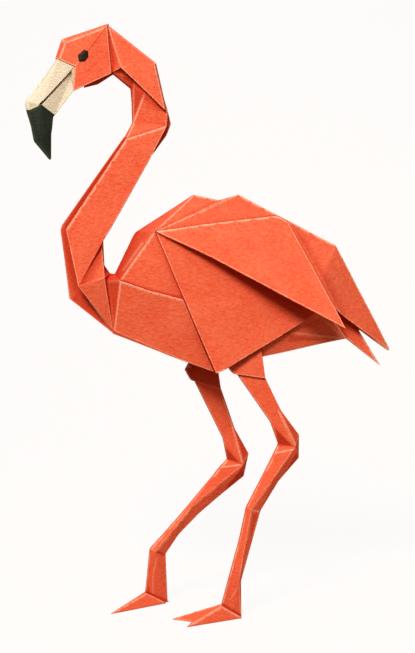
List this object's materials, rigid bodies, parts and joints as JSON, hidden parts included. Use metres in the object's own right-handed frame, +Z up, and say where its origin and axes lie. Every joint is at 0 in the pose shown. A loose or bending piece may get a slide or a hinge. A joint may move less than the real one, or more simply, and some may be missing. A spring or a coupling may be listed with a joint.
{
  "type": "origami flamingo",
  "caption": "Folded paper flamingo standing on two bent legs, with an S-shaped neck, a fan of flat wing folds and a hooked beak with a dark tip.",
  "frame": {"origin": "middle of the bounding box, on the ground under the feet", "axes": "+Z up, -X the way the bird faces, -Y the bird's left side"},
  "size_m": [0.1476, 0.0464, 0.2379],
  "materials": {
    "coral_sheet": "matte",
    "coral_legs": "matte",
    "cream_paper": "matte",
    "black_paper": "matte",
    "eye_paper": "matte"
  },
  "bodies": {
    "root": {"body_sheet": "coral_sheet", "left_leg": "coral_legs", "right_leg": "coral_legs", "beak_base": "cream_paper", "beak_tip": "black_paper", "left_eye": "eye_paper", "right_eye": "eye_paper"}
  },
  "joints": []
}
